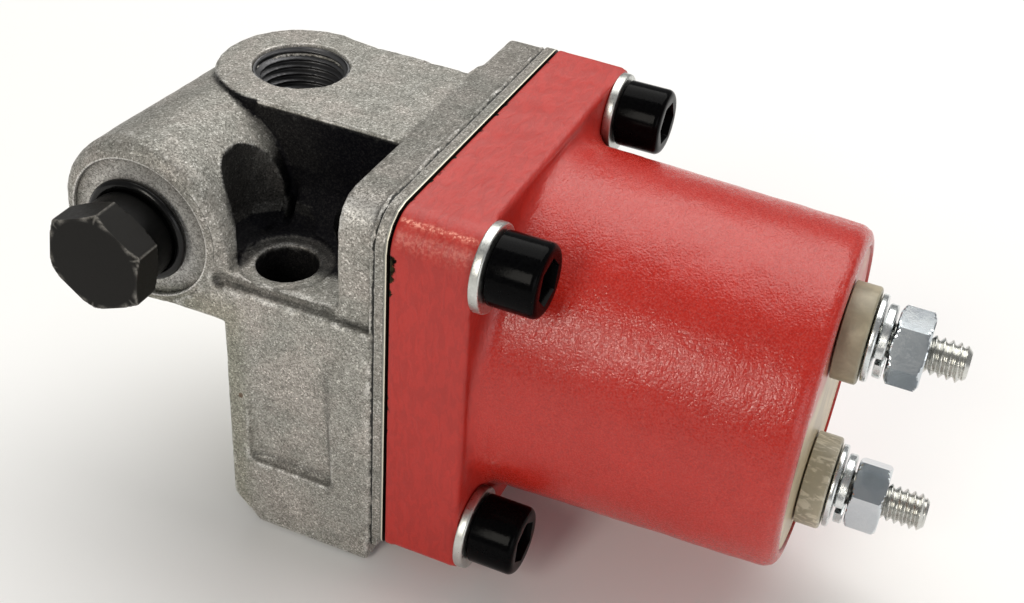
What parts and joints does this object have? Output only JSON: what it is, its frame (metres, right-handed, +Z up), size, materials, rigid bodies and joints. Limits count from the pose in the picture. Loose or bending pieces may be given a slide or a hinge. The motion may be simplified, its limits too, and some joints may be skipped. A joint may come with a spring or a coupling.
{
  "type": "engine solenoid",
  "caption": "Fuel shutoff solenoid valve: a grey cast body with an inlet port and a plugged side boss, and a round red coil housing with threaded electrical studs.",
  "frame": {"origin": "on the pump face under the valve body, midway between the mounting bolt holes", "axes": "+X along the coil axis from the valve body to the electrical studs, +Z up out of the inlet port, the side plug faces -Y"},
  "size_m": [0.1431, 0.0787, 0.0713],
  "materials": {
    "cast_iron_grey": "grey sand casting with a fine dark and light grain",
    "pale_plate": "thin plate with a pale edge",
    "red_enamel": "glossy red enamel over a rough casting",
    "black_oxide": "black oxide steel, glossy on the screw heads",
    "zinc_plate": "bright zinc plate",
    "bright_steel": "bright rolled thread",
    "olive_phenolic": "olive brown phenolic with turning marks",
    "black_rubber": "oily black rubber",
    "cream_resin": "cream potting resin",
    "enamelled_copper": "enamelled copper wire",
    "natural_nylon": "natural nylon",
    "soft_iron": "machined soft iron",
    "spring_steel": "blued spring steel"
  },
  "bodies": {
    "valve_and_coil": {"valve_body": "cast_iron_grey", "fuel_shield": "pale_plate", "solenoid_housing": "red_enamel", "flange_screw_1": "black_oxide", "flange_screw_2": "black_oxide", "flange_screw_3": "black_oxide", "flange_screw_4": "black_oxide", "flange_washer_1": "zinc_plate", "flange_washer_2": "zinc_plate", "flange_washer_3": "zinc_plate", "flange_washer_4": "zinc_plate", "side_port_plug": "black_oxide", "plug_o_ring": "black_rubber", "terminal_insulator_upper": "olive_phenolic", "terminal_insulator_lower": "olive_phenolic", "terminal_stud_upper": "bright_steel", "terminal_stud_lower": "bright_steel", "terminal_flat_washer_upper": "zinc_plate", "terminal_flat_washer_lower": "zinc_plate", "terminal_lock_washer_upper": "zinc_plate", "terminal_lock_washer_lower": "zinc_plate", "terminal_nut_upper": "zinc_plate", "terminal_nut_lower": "zinc_plate", "end_resin": "cream_resin", "pole_core": "soft_iron", "coil_bobbin": "natural_nylon", "coil_winding": "enamelled_copper", "coil_lead_upper": "enamelled_copper", "coil_lead_lower": "enamelled_copper", "housing_o_ring": "black_rubber", "wave_spring": "spring_steel"},
    "armature": {"valve_disc": "soft_iron", "disc_seal": "black_rubber"}
  },
  "joints": [
    {"name": "valve_lift", "type": "slide", "parent": "valve_and_coil", "child": "armature", "axis": [1, 0, 0], "range_m": [0, 0.0009], "stiffness_N_per_m": 1500, "springref_m": -0.003, "deforming": ["wave_spring"]}
  ]
}
